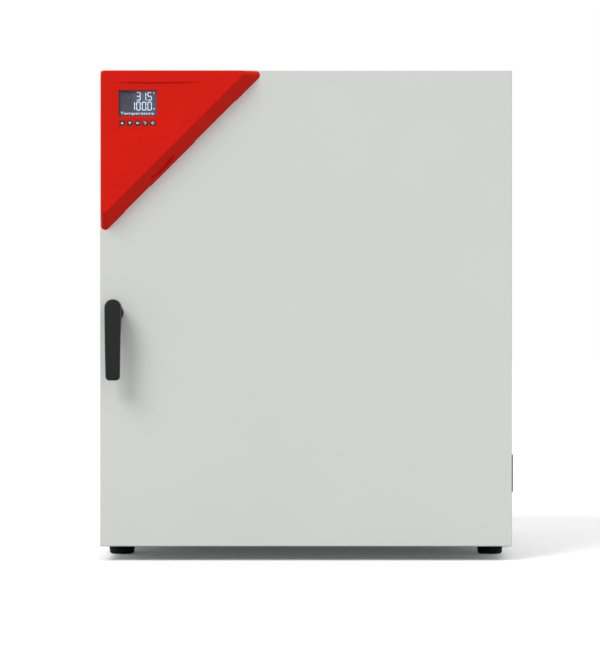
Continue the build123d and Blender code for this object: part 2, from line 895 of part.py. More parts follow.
with BuildPart() as cable_gland:
    with BuildSketch(facing_front(casing_rear)):
        with Locations((gland_x, gland_z)):
            RegularPolygon(gland_body, 6)
    extrude(amount=-gland_length * 0.4)
    with BuildSketch(facing_front(casing_rear + gland_length * 0.4)):
        with Locations((gland_x, gland_z)):
            Circle(gland_body * 0.85)
    extrude(amount=-gland_length * 0.6, taper=12)
    with BuildSketch(facing_front(casing_rear)):
        with Locations((gland_x, gland_z)):
            Circle(gland_thread)
    extrude(amount=gland_inside)
    with BuildSketch(facing_front(panel_rear)):
        with Locations((gland_x, gland_z)):
            RegularPolygon(gland_body, 6)
            Circle(gland_thread, mode=Mode.SUBTRACT)
    extrude(amount=5.0)
    with BuildSketch(facing_front(casing_rear - gland_inside)):
        with Locations((gland_x, gland_z)):
            Circle(gland_bore)
    extrude(amount=-(gland_inside + gland_length), mode=Mode.SUBTRACT)
write_piece(cable_gland, "cable_gland")

# Hinges: a plate and a fixed pin above and below the door, and a bearing block in the door


def hinge_bracket(low):
    """The flat plate of one hinge, with its round end under or over the door."""
    with BuildPart() as plate:
        with BuildSketch(Plane.XY.offset(low)):
            with Locations((pivot_x, (pivot_y + hinge_rear) / 2)):
                Rectangle(2 * hinge_half, hinge_rear - pivot_y)
            with Locations((pivot_x, pivot_y)):
                Circle(hinge_half)
                Circle(hinge_pin_radius, mode=Mode.SUBTRACT)
        extrude(amount=hinge_plate)
    return plate


def hinge_pin(low, high):
    """A plain pin on the door's axis."""
    with BuildPart() as pin:
        with BuildSketch(Plane.XY.offset(low)):
            with Locations((pivot_x, pivot_y)):
                Circle(hinge_pin_radius)
        extrude(amount=high - low)
    return pin


def hinge_block(low):
    """The bearing block of one hinge, in the corner of the door."""
    with BuildPart() as block:
        with BuildSketch(Plane.XY.offset(low)):
            with Locations((inner_x - hinge_block_depth / 2, pivot_y)):
                Rectangle(hinge_block_depth, hinge_block_depth)
            with Locations((pivot_x, pivot_y)):
                Circle(hinge_pin_radius + running_gap, mode=Mode.SUBTRACT)
        extrude(amount=hinge_block_height)
    return block


upper_plate_low = roof_under - hinge_plate
pocket_floor = upper_plate_low - hinge_clearance
lower_plate_low = casing_base - hinge_plate
lower_block_low = door_base + door_sheet

write_piece(hinge_bracket(upper_plate_low), "upper_hinge_bracket")
write_piece(hinge_bracket(lower_plate_low), "lower_hinge_bracket")
write_piece(hinge_pin(roof_under - hinge_plate - hinge_pin_length, roof_under), "upper_hinge_pin")
write_piece(hinge_pin(lower_plate_low, lower_block_low + hinge_pin_length), "lower_hinge_pin")
write_piece(hinge_block(pocket_floor - hinge_block_height), "upper_hinge_block")
write_piece(hinge_block(lower_block_low), "lower_hinge_block")

# Door seal: a soft ring on the chamber's flange
with BuildPart() as door_gasket:
    with BuildSketch(facing_front(flange_front)):
        with Locations((0, chamber_mid)):
            RectangleRounded(
                chamber_width + 2 * (gasket_inset + gasket_width),
                chamber_height + 2 * (gasket_inset + gasket_width),
                chamber_corner + gasket_inset + gasket_width,
            )
            RectangleRounded(
                chamber_width + 2 * gasket_inset,
                chamber_height + 2 * gasket_inset,
                chamber_corner + gasket_inset,
                mode=Mode.SUBTRACT,
            )
    extrude(amount=flange_front - door_rear - gasket_gap)
    fillet(door_gasket.faces().sort_by(Axis.Y)[0].edges(), radius=1.5)
write_piece(door_gasket, "door_gasket")

# Door shell: a folded tray, open to the rear, closed by a flat inner panel
door_mid = door_base + door_height / 2
hinge_pocket_left = pivot_x - hinge_half - 1.5
hinge_pocket_front = pivot_y - 2 * hinge_half
rod_z = lever_pivot_z + rod_rise
rod_hole = rod_radius + 2.0
harness_radius = 9.0
harness_place = (-side_x + 60.0, casing_top - 170.0)

with BuildPart() as door_outer_panel:
    with BuildSketch(facing_front(door_rear)):
        with Locations((0, door_mid)):
            Rectangle(casing_width, door_height)
    extrude(amount=door_thickness)
    fillet(door_outer_panel.faces().sort_by(Axis.Y)[0].edges(), radius=door_edge_radius)
    with BuildSketch(facing_front(door_rear)):
        with Locations((0, door_mid)):
            Rectangle(casing_width - 2 * door_sheet, door_height - 2 * door_sheet)
    extrude(amount=door_thickness - door_sheet, mode=Mode.SUBTRACT)
    with BuildSketch(facing_front(door_front)):
        with Locations((latch_x, rod_z)):
            Circle(rod_hole)
        with Locations(harness_place):
            Circle(harness_radius)
    extrude(amount=-door_sheet, mode=Mode.SUBTRACT)
    with BuildSketch(Plane.XY.offset(pocket_floor)):
        with Locations(((hinge_pocket_left + side_x) / 2, (hinge_pocket_front + door_rear) / 2)):
            Rectangle(side_x - hinge_pocket_left, door_rear - hinge_pocket_front)
    extrude(amount=casing_top - pocket_floor, mode=Mode.SUBTRACT)
    with BuildSketch(Plane.XY.offset(door_base)):
        with Locations((pivot_x, pivot_y)):
            Circle(hinge_pin_radius + hinge_clearance)
    extrude(amount=door_sheet, mode=Mode.SUBTRACT)
write_piece(door_outer_panel, "door_outer_panel")

door_inner_x = side_x - door_sheet
hook_y = door_rear - hook_pivot_depth
hook_slot_low = hook_pivot_z - 14.0
hook_slot_high = hook_pivot_z + 8.0
hook_slot_half = hook_width / 2 + 1.5

with BuildPart() as door_inner_panel:
    with BuildSketch(facing_front(door_rear)):
        with Locations((0, door_mid)):
            Rectangle(2 * door_inner_x, door_height - 2 * door_sheet)
        with Locations(((hinge_pocket_left + door_inner_x) / 2, (pocket_floor + casing_top) / 2)):
            Rectangle(
                door_inner_x - hinge_pocket_left, casing_top - pocket_floor, mode=Mode.SUBTRACT
            )
        with Locations((latch_x, (hook_slot_low + hook_slot_high) / 2)):
            Rectangle(2 * hook_slot_half, hook_slot_high - hook_slot_low, mode=Mode.SUBTRACT)
    extrude(amount=door_sheet)
write_piece(door_inner_panel, "door_inner_panel")

latch_pocket_half = hook_width / 2 + 12.0
latch_pocket_low = hook_pivot_z - 22.0
latch_pocket_high = rod_z + 16.0
latch_pocket_deep = 40.0
door_core_front = door_front + door_sheet
door_core_rear = door_rear - door_sheet

with BuildPart() as door_insulation:
    with BuildSketch(facing_front(door_core_rear)):
        with Locations((0, door_mid)):
            Rectangle(2 * door_inner_x, door_height - 2 * door_sheet)
        with Locations((latch_x, rod_z)):
            Circle(rod_hole, mode=Mode.SUBTRACT)
        with Locations(harness_place):
            Circle(harness_radius, mode=Mode.SUBTRACT)
    extrude(amount=door_core_rear - door_core_front)
    with BuildSketch(facing_front(door_core_rear)):
        with Locations((latch_x, (latch_pocket_low + latch_pocket_high) / 2)):
            Rectangle(2 * latch_pocket_half, latch_pocket_high - latch_pocket_low)
    extrude(amount=latch_pocket_deep, mode=Mode.SUBTRACT)
    for low, high in (
        (pocket_floor - hinge_block_height, casing_top),
        (door_base, lower_block_low + hinge_block_height),
    ):
        with BuildSketch(Plane.XY.offset(low)):
            with Locations((inner_x - hinge_block_depth / 2, (hinge_pocket_front + door_rear) / 2)):
                Rectangle(hinge_block_depth, door_rear - hinge_pocket_front)
        extrude(amount=high - low, mode=Mode.SUBTRACT)
write_piece(door_insulation, "door_insulation")

# Chamber insulation: one mat block round the chamber, cut away for what passes through it
strike_pocket_half = hook_width / 2 + 16.0
strike_pocket_low = hook_pivot_z - 27.0
strike_pocket_high = hook_pivot_z + 32.0
strike_pocket_deep = 46.0
core_low = casing_base + casing_sheet
core_front = casing_front + casing_sheet

with BuildPart() as chamber_insulation:
    with BuildSketch(facing_front(core_front)):
        with Locations((0, (core_low + roof_under) / 2)):
            Rectangle(2 * inner_x, roof_under - core_low)
    extrude(amount=-(insulation_rear - core_front))
    with BuildSketch(facing_front(core_front)):
        with Locations((0, chamber_mid)):
            RectangleRounded(
                chamber_width + 2 * chamber_sheet,
                chamber_height + 2 * chamber_sheet,
                chamber_corner + chamber_sheet,
            )
    extrude(amount=-(chamber_back + chamber_sheet - core_front), mode=Mode.SUBTRACT)
    with BuildSketch(facing_front(chamber_back)):
        with Locations((0, chamber_mid)):
            Circle(shaft_radius + 2 * shaft_hole_gap)
        with Locations((duct_x, duct_z)):
            Circle(duct_outer)
        with Locations(probe_place):
            Circle(probe_radius)
        with Locations(*coil_places):
            Circle(coil_tube)
    extrude(amount=-(insulation_rear - chamber_back), mode=Mode.SUBTRACT)
    with BuildSketch(facing_front(core_front)):
        with Locations((latch_x, (strike_pocket_low + strike_pocket_high) / 2)):
            Rectangle(2 * strike_pocket_half, strike_pocket_high - strike_pocket_low)
    extrude(amount=-strike_pocket_deep, mode=Mode.SUBTRACT)
    with BuildSketch(Plane.XY.offset(upper_plate_low)):
        with Locations((pivot_x, (core_front + hinge_rear) / 2)):
            Rectangle(2 * hinge_half, hinge_rear - core_front)
    extrude(amount=hinge_plate, mode=Mode.SUBTRACT)
    with BuildSketch(facing_side(inner_x)):
        with Locations((switch_mid_y, switch_mid_z)):
            Rectangle(
                switch_panel_length - 2 * switch_panel_lip,
                switch_panel_height - 2 * switch_panel_lip,
            )
    extrude(amount=-switch_panel_deep, mode=Mode.SUBTRACT)
    with BuildSketch(Plane.XY.offset(core_low)):
        with Locations(*foot_places.values()):
            Circle(foot_stud_radius + 2.0)
    extrude(amount=foot_stud_rise, mode=Mode.SUBTRACT)
write_piece(chamber_insulation, "chamber_insulation")

# Latch strike: a cross pin in a bracket behind the front frame's slot
strike_y = hook_y + strike_ahead
strike_z = hook_pivot_z + hook_bar / 2 + hook_nose + strike_gap + strike_radius
strike_sheet = 1.5
strike_half = slot_half + strike_sheet

with BuildPart() as latch_strike:
    with BuildSketch(facing_front(core_front)):
        with Locations((latch_x, (strike_pocket_low + strike_pocket_high) / 2)):
            Rectangle(2 * strike_pocket_half, strike_pocket_high - strike_pocket_low)
        with Locations((latch_x, (slot_low + slot_high) / 2)):
            Rectangle(2 * slot_half, slot_high - slot_low, mode=Mode.SUBTRACT)
    extrude(amount=-strike_sheet)
    for sign in (-1, 1):
        with BuildSketch(facing_side(latch_x + sign * (slot_half + strike_sheet / 2))):
            with Locations(((core_front + strike_y + 8.0) / 2, strike_z)):
                Rectangle(strike_y + 8.0 - core_front, 22.0)
        extrude(amount=strike_sheet / 2, both=True)
    with BuildSketch(facing_side(latch_x)):
        with Locations((strike_y, strike_z)):
            Circle(strike_radius)
    extrude(amount=strike_half, both=True)
write_piece(latch_strike, "latch_strike")

# Latch in the door: a hook on a cross pin between two cheeks behind the inner panel
latch_cheek = 2.0
latch_cheek_at = hook_width / 2 + 0.4 + latch_cheek / 2

with BuildPart() as latch_bracket:
    with BuildSketch(facing_front(door_core_rear)):
        with Locations((latch_x, (hook_slot_low + hook_slot_high) / 2)):
            Rectangle(2 * latch_pocket_half, hook_slot_high - hook_slot_low + 10.0)
            Rectangle(2 * hook_slot_half, hook_slot_high - hook_slot_low, mode=Mode.SUBTRACT)
    extrude(amount=1.2)
    for sign in (-1, 1):
        with BuildSketch(facing_side(latch_x + sign * latch_cheek_at)):
            with Locations(((hook_y - 7.0 + door_core_rear) / 2, hook_pivot_z)):
                Rectangle(door_core_rear - hook_y + 7.0, 14.0)
        extrude(amount=latch_cheek / 2, both=True)
    with BuildSketch(facing_side(latch_x)):
        with Locations((hook_y, hook_pivot_z)):
            Circle(hook_pin_radius)
    extrude(amount=latch_cheek_at + latch_cheek, both=True, mode=Mode.SUBTRACT)
write_piece(latch_bracket, "latch_bracket")

with BuildPart() as latch_pin:
    with BuildSketch(facing_side(latch_x)):
        with Locations((hook_y, hook_pivot_z)):
            Circle(hook_pin_radius)
    extrude(amount=latch_cheek_at + latch_cheek / 2, both=True)
write_piece(latch_pin, "latch_pin")

hook_arm = rod_rise + lever_pivot_z - hook_pivot_z + rod_radius + 3.0

with BuildPart() as latch_hook:
    with BuildSketch(facing_side(latch_x)):
        with BuildLine():
            Polyline(
                (hook_y - hook_bar / 2, hook_pivot_z - hook_bar / 2),
                (hook_y + hook_reach, hook_pivot_z - hook_bar / 2),
                (hook_y + hook_reach, hook_pivot_z + hook_bar / 2 + hook_nose * 0.4),
                (hook_y + hook_reach - hook_nose * 0.5, hook_pivot_z + hook_bar / 2 + hook_nose),
                (hook_y + hook_reach - hook_nose, hook_pivot_z + hook_bar / 2 + hook_nose),
                (hook_y + hook_reach - hook_nose, hook_pivot_z + hook_bar / 2),
                (hook_y + hook_bar / 2, hook_pivot_z + hook_bar / 2),
                (hook_y + hook_bar / 2, hook_pivot_z + hook_arm),
                (hook_y - hook_bar / 2, hook_pivot_z + hook_arm),
                close=True,
            )
        make_face()
        with Locations((hook_y, hook_pivot_z)):
            Circle(hook_bar * 0.75)
            Circle(hook_pin_radius + running_gap, mode=Mode.SUBTRACT)
    extrude(amount=hook_width / 2, both=True)
write_piece(latch_hook, "latch_hook")

# Handle: a round boss with two cheeks, a cross pin and a pull lever with a cam above the pin
lever_pivot_y = door_front - lever_pivot_proud
boss_face = door_front - boss_proud
cam_y = lever_pivot_y + handle_cam
grip_face = door_front - handle_proud
lever_half = handle_width / 2

with BuildPart() as handle_base:
    with BuildSketch(facing_front(door_front)):
        with Locations((latch_x, boss_z)):
            Circle(boss_radius)
        with Locations((latch_x, rod_z)):
            Circle(rod_radius + 4.0)
        make_hull()
    extrude(amount=boss_proud)
    fillet(handle_base.faces().sort_by(Axis.Y)[0].edges(), radius=2.0)
    with BuildSketch(facing_front(door_front)):
        with Locations((latch_x, rod_z)):
            Circle(rod_radius + running_gap)
    extrude(amount=boss_proud, mode=Mode.SUBTRACT)
    for sign in (-1, 1):
        with BuildSketch(facing_side(latch_x + sign * (cheek_offset + cheek_sheet / 2))):
            with Locations(((lever_pivot_y + door_front) / 2, lever_pivot_z)):
                Rectangle(lever_pivot_proud, 2 * cheek_radius)
            with Locations((lever_pivot_y, lever_pivot_z)):
                Circle(cheek_radius)
        extrude(amount=cheek_sheet / 2, both=True)
    with BuildSketch(facing_side(latch_x)):
        with Locations((lever_pivot_y, lever_pivot_z)):
            Circle(lever_pin_radius)
    extrude(amount=cheek_offset + 2 * cheek_sheet, both=True, mode=Mode.SUBTRACT)
write_piece(handle_base, "handle_base")

with BuildPart() as handle_pin:
    with BuildSketch(facing_side(latch_x)):
        with Locations((lever_pivot_y, lever_pivot_z)):
            Circle(lever_pin_radius)
    extrude(amount=lever_half - 1.0, both=True)
write_piece(handle_pin, "handle_pin")

shoulder_z = lever_pivot_z - 25.0
grip_top_z = lever_pivot_z - 50.0
foot_z = handle_low + handle_foot_corner
foot_shift = handle_foot_half - handle_foot_corner

with BuildPart() as handle_lever:
    with BuildSketch(facing_side(latch_x)):
        with BuildLine():
            face = ThreePointArc(
                (grip_face + 4.0, handle_high),
                (grip_face, (handle_high + handle_low) / 2 + 20.0),
                (grip_face + 4.0, handle_low),
            )
            Polyline(
                face @ 1,
                (grip_face + 4.0 + handle_grip * 0.8, handle_low),
                (grip_face + 1.0 + handle_grip, grip_top_z),
                (cam_y, shoulder_z),
                (cam_y, handle_high),
                face @ 0,
            )
        make_face()
    extrude(amount=lever_half, both=True)
    with BuildSketch(facing_front(cam_y)):
        with Locations((latch_x, handle_high - lever_half)):
            Circle(lever_half)
        with Locations((latch_x - foot_shift, foot_z), (latch_x + foot_shift, foot_z)):
            Circle(handle_foot_corner)
        make_hull()
    extrude(amount=handle_proud, mode=Mode.INTERSECT)
    fillet(handle_lever.faces().sort_by(Axis.Y)[0].edges(), radius=3.0)
    for sign in (-1, 1):
        with BuildSketch(facing_side(latch_x + sign * (cheek_offset + cheek_sheet / 2))):
            with Locations(((lever_pivot_y + cam_y - cheek_radius) / 2, lever_pivot_z + 1.5)):
                Rectangle(cam_y - lever_pivot_y + cheek_radius + 1.0, 2 * cheek_radius + 5.0)
        extrude(amount=cheek_sheet / 2 + sliding_gap, both=True, mode=Mode.SUBTRACT)
    with BuildSketch(facing_side(latch_x)):
        with Locations((lever_pivot_y, lever_pivot_z)):
            Circle(lever_pin_radius + running_gap)
    extrude(amount=lever_half - 0.8, both=True, mode=Mode.SUBTRACT)
write_piece(handle_lever, "handle_lever")

rod_front = cam_y + sliding_gap
rod_rear = hook_y - hook_bar / 2 - sliding_gap

with BuildPart() as push_rod:
    with BuildSketch(facing_front(rod_rear)):
        with Locations((latch_x, rod_z)):
            Circle(rod_radius)
    extrude(amount=rod_rear - rod_front)
    fillet(push_rod.edges().filter_by(GeomType.CIRCLE), radius=rod_radius * 0.97)
write_piece(push_rod, "push_rod")

# Control housing: a hollow triangular moulding with a wide bevel along its long edge
panel_face = door_front - panel_depth
panel_back_wall = panel_face + panel_wall
bevel = panel_diagonal - panel_face_diagonal


def panel_outline(plane, side, top, diagonal, corner):
    """Sketch a rounded triangle: its insets, where its long edge falls and its corner radius."""
    with BuildSketch(plane) as outline:
        with BuildLine():
            FilletPolyline(
                (-side_x + side, casing_top - top),
                (-side_x + diagonal - top, casing_top - top),
                (-side_x + side, casing_top - diagonal + side),
                radius=corner,
                close=True,
            )
        make_face()
    return outline


def scoop_outline(drop, right):
    """Sketch the shallow arc of the scoop at one level of the housing's face."""
    left_x = -side_x + scoop_left
    right_x = -side_x + right
    with BuildSketch(Plane.XY.offset(casing_top - drop)) as arc:
        with BuildLine():
            ThreePointArc(
                (left_x, panel_face), ((left_x + right_x) / 2, panel_face + scoop_depth), (right_x, panel_face)
            )
            Polyline(
                (right_x, panel_face), (right_x, panel_face - 1.0), (left_x, panel_face - 1.0), (left_x, panel_face)
            )
        make_face()
    return arc


window_x = -side_x + window_left + window_width / 2
window_z = casing_top - window_top - window_height / 2
button_xs = [-side_x + button_first + step * button_pitch for step in range(5)]
button_z = casing_top - button_drop
button_places = [(x, button_z) for x in button_xs]
skin_side = panel_inset_side + panel_wall * 0.6
skin_top = panel_inset_top + panel_wall * 0.6
hollow_depth = panel_depth - panel_wall
skin_diagonal = 1.6 * panel_wall

outer_base = panel_outline(
    facing_front(door_front), panel_inset_side, panel_inset_top, panel_diagonal, panel_base_corner
)
outer_face = panel_outline(
    facing_front(panel_face),
    panel_inset_side + panel_draft,
    panel_inset_top + panel_draft,
    panel_face_diagonal,
    panel_face_corner,
)
hollow_base = panel_outline(
    facing_front(door_front), skin_side, skin_top, panel_diagonal - skin_diagonal, panel_base_corner - 3.0
)
hollow_face = panel_outline(
    facing_front(panel_back_wall),
    skin_side + panel_draft,
    skin_top + panel_draft,
    panel_diagonal - bevel * hollow_depth / panel_depth - skin_diagonal,
    panel_face_corner - 3.0,
)
scoop_high = scoop_outline(scoop_top, scoop_right_top)
scoop_low = scoop_outline(scoop_bottom, scoop_right_bottom)
bevel_middle = (panel_diagonal + panel_face_diagonal) / 2
bevel_plane = Plane(
    origin=(bevel_middle - grip_drop - side_x, (door_front + panel_face) / 2, casing_top - grip_drop),
    x_dir=(1, 0, 1),
    z_dir=(panel_depth, -bevel, -panel_depth),
)

with BuildPart() as control_housing:
    loft([outer_base.sketch, outer_face.sketch], ruled=True)
    fillet(control_housing.faces().sort_by(Axis.Y)[0].edges(), radius=panel_edge_radius)
    loft([hollow_base.sketch, hollow_face.sketch], ruled=True, mode=Mode.SUBTRACT)
    loft([scoop_high.sketch, scoop_low.sketch], ruled=True, mode=Mode.SUBTRACT)
    with BuildSketch(facing_front(panel_back_wall)):
        with Locations((window_x, window_z)):
            Rectangle(window_width, window_height)
        with Locations(*button_places):
            RectangleRounded(
                button_side + 2 * button_gap, button_side + 2 * button_gap, button_corner + button_gap
            )
    extrude(amount=panel_wall, mode=Mode.SUBTRACT)
    with BuildSketch(bevel_plane.offset(-grip_depth)):
        with BuildLine():
            tips = ((-grip_length / 2, -grip_outward), (grip_length / 2, -grip_outward))
            ThreePointArc(tips[0], (0, grip_width / 2 - grip_outward), tips[1])
            ThreePointArc(tips[0], (0, -grip_width / 2 - grip_outward), tips[1])
        make_face()
    extrude(amount=2 * grip_depth, mode=Mode.SUBTRACT)
    for high, low in relief_spans:
        middle = (high + low) / 2
        with BuildSketch(facing_front(door_front)):
            with Locations((panel_diagonal - middle - side_x, casing_top - middle)):
                Rectangle((low - high) * 2**0.5, 2 * relief_cut, rotation=45)
        extrude(amount=relief_cut, mode=Mode.SUBTRACT)
write_piece(control_housing, "control_housing")

# Display: a clear pane behind the housing's face, and the display module on the board
board_front = door_front - board_standoff - board_sheet
pane_front = panel_back_wall
pane_rear = pane_front + window_sheet

with BuildPart() as display_window:
    with BuildSketch(facing_front(pane_rear)):
        with Locations((window_x, window_z)):
            Rectangle(window_width + 2 * window_lap, window_height + 2 * window_lap)
    extrude(amount=window_sheet)
write_piece(display_window, "display_window")

with BuildPart() as display_module:
    with BuildSketch(facing_front(board_front)):
        with Locations((window_x, window_z)):
            Rectangle(window_width + window_lap, window_height + window_lap)
    extrude(amount=board_front - pane_rear)
write_piece(display_module, "display_module")

button_flange_front = panel_back_wall + 0.1
button_flange_rear = button_flange_front + button_flange
button_stem = 2.0
button_stem_end = button_flange_rear + 3.0
switch_front = button_stem_end + button_travel + 0.1
button_face = panel_face + scoop_depth - button_proud
board_left = -side_x + window_left - board_margin
board_right = -side_x + window_left + window_width + board_margin + 6.0
board_high = casing_top - window_top + board_margin
board_low = button_z - 2 * board_margin

with BuildPart() as controller_board:
    with BuildSketch(facing_front(door_front - board_standoff)):
        with Locations(((board_left + board_right) / 2, (board_high + board_low) / 2)):
            Rectangle(board_right - board_left, board_high - board_low)
    extrude(amount=board_sheet)
    with BuildSketch(facing_front(door_front)):
        with Locations(((board_left + board_right) / 2, (board_high + board_low) / 2)):
            with GridLocations(board_right - board_left - 10.0, board_high - board_low - 10.0, 2, 2):
                Circle(3.0)
    extrude(amount=board_standoff)
    with BuildSketch(facing_front(board_front)):
        with Locations(*button_places):
            Rectangle(6.0, 6.0)
    extrude(amount=board_front - switch_front)
write_piece(controller_board, "controller_board")


def control_button(x):
    """One key: a rounded cap, a retaining flange behind the face and a stem to its switch."""
    with BuildPart() as button:
        with BuildSketch(facing_front(button_flange_front)):
            with Locations((x, button_z)):
                RectangleRounded(button_side, button_side, button_corner)
        extrude(amount=button_flange_front - button_face)
        fillet(button.faces().sort_by(Axis.Y)[0].edges(), radius=0.8)
        with BuildSketch(facing_front(button_flange_rear)):
            with Locations((x, button_z)):
                Rectangle(button_side + 3.0, button_side + 3.0)
        extrude(amount=button_flange)
        with BuildSketch(facing_front(button_stem_end)):
            with Locations((x, button_z)):
                Circle(button_stem)
        extrude(amount=button_stem_end - button_flange_rear)
    return button


for number, x in enumerate(button_xs, start=1):
    write_piece(control_button(x), f"button_{number}")
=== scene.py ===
import bpy
import bmesh
import json
from math import cos, pi, radians, sin
from mathutils import Matrix, Vector


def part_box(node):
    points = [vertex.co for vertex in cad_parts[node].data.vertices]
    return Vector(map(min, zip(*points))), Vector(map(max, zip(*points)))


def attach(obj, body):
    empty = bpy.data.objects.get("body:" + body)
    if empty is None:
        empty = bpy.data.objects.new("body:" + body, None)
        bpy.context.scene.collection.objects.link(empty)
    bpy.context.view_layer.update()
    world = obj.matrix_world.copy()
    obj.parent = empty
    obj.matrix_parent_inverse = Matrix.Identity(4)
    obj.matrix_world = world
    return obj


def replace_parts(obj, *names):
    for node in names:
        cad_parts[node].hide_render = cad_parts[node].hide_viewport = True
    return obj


# A floor-standing laboratory drying oven seen square on from the front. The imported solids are
# the frame. This script gives every one of them its finish, adds the small parts that they
# leave out, and sets the camera, the lamps and the floor. Lengths are in metres unless a name
# ends in _mm. X points to the right of someone facing the door, Y to the rear and Z up.

MM = 0.001

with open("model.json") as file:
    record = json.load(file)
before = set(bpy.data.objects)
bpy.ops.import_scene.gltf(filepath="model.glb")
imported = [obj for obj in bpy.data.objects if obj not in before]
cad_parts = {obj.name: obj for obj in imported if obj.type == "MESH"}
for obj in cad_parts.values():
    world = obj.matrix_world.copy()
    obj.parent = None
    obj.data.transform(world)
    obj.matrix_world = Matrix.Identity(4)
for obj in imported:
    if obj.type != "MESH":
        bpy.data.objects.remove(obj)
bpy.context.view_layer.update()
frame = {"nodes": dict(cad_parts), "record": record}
scene = bpy.context.scene
scene.view_settings.view_transform = "Standard"

# Surfaces


def surface(name, colour, rough, metallic=0.0, cloud=9.0, tint=0.05, spread=0.06,
            grain=(1, 1, 1), fine=900.0, bump=0.06, depth_mm=0.1, gloss=0.5, alpha=1.0):
    """A finish whose colour and roughness drift over the surface and whose relief is fine."""
    made = bpy.data.materials.new(name)
    made.use_nodes = True
    nodes, links = made.node_tree.nodes, made.node_tree.links
    shader = nodes["Principled BSDF"]
    shader.inputs["Metallic"].default_value = metallic
    shader.inputs["Specular IOR Level"].default_value = gloss
    shader.inputs["Alpha"].default_value = alpha
    place = nodes.new("ShaderNodeTexCoord")
    stretch = nodes.new("ShaderNodeMapping")
    stretch.inputs["Scale"].default_value = grain
    links.new(place.outputs["Object"], stretch.inputs["Vector"])
    drift = nodes.new("ShaderNodeTexNoise")
    drift.inputs["Scale"].default_value = cloud
    drift.inputs["Detail"].default_value = 5.0
    links.new(stretch.outputs["Vector"], drift.inputs["Vector"])
    ramp = nodes.new("ShaderNodeValToRGB")
    for stop, position, gain in zip(ramp.color_ramp.elements, (0.3, 0.7), (1 - tint, 1 + tint)):
        stop.position = position
        stop.color = [min(1.0, c * gain) for c in colour] + [1.0]
    links.new(drift.outputs["Fac"], ramp.inputs["Fac"])
    links.new(ramp.outputs["Color"], shader.inputs["Base Color"])
    sheen = nodes.new("ShaderNodeMapRange")
    sheen.inputs["From Min"].default_value = 0.3
    sheen.inputs["From Max"].default_value = 0.7
    sheen.inputs["To Min"].default_value = rough - spread
    sheen.inputs["To Max"].default_value = rough + spread
    links.new(drift.outputs["Fac"], sheen.inputs["Value"])
    links.new(sheen.outputs["Result"], shader.inputs["Roughness"])
    grit = nodes.new("ShaderNodeTexNoise")
    grit.inputs["Scale"].default_value = fine
    grit.inputs["Detail"].default_value = 3.0
    links.new(stretch.outputs["Vector"], grit.inputs["Vector"])
    relief = nodes.new("ShaderNodeBump")
    relief.inputs["Strength"].default_value = bump
    relief.inputs["Distance"].default_value = depth_mm * MM
    links.new(grit.outputs["Fac"], relief.inputs["Height"])
    links.new(relief.outputs["Normal"], shader.inputs["Normal"])
    return made


def spangled(made, size):
    """Adds the crystal flakes of a zinc coating to a finish's colour."""
    nodes, links = made.node_tree.nodes, made.node_tree.links
    shader = nodes["Principled BSDF"]
    was = shader.inputs["Base Color"].links[0].from_socket
    flake = nodes.new("ShaderNodeTexVoronoi")
    flake.inputs["Scale"].default_value = size
    links.new(nodes["Mapping"].outputs["Vector"], flake.inputs["Vector"])
    grey = nodes.new("ShaderNodeHueSaturation")
    tone = nodes.new("ShaderNodeMapRange")
    tone.inputs["To Min"].default_value = 0.82
    tone.inputs["To Max"].default_value = 1.08
    links.new(flake.outputs["Color"], tone.inputs["Value"])
    links.new(tone.outputs["Result"], grey.inputs["Value"])
    links.new(was, grey.inputs["Color"])
    links.new(grey.outputs["Color"], shader.inputs["Base Color"])
    return made


def glowing(made, colour, strength):
    """Lets a finish give off a little light of its own, as a lit display does."""
    shader = made.node_tree.nodes["Principled BSDF"]
    shader.inputs["Emission Color"].default_value = (*colour, 1.0)
    shader.inputs["Emission Strength"].default_value = strength
    return made


